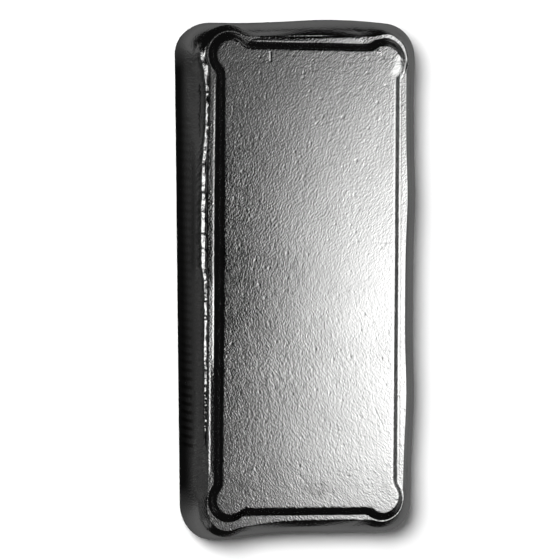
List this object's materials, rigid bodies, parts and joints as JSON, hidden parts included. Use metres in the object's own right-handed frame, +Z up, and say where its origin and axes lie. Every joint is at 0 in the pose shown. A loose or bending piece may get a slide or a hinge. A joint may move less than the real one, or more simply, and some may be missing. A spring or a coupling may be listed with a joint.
{
  "type": "metal ingot",
  "caption": "Cast and pressed silver-coloured ingot with a raised blank panel, round lobes at the panel's corners, a narrow flat land and bulged walls.",
  "frame": {"origin": "bottom centre of the ingot's bounding box, on the plane of the flat underside", "axes": "+X along the length, +Y across the width, +Z up out of the panelled face"},
  "size_m": [0.1164, 0.0562, 0.0163],
  "materials": {
    "silver": "satin"
  },
  "bodies": {
    "root": {"ingot": "silver"}
  },
  "joints": []
}
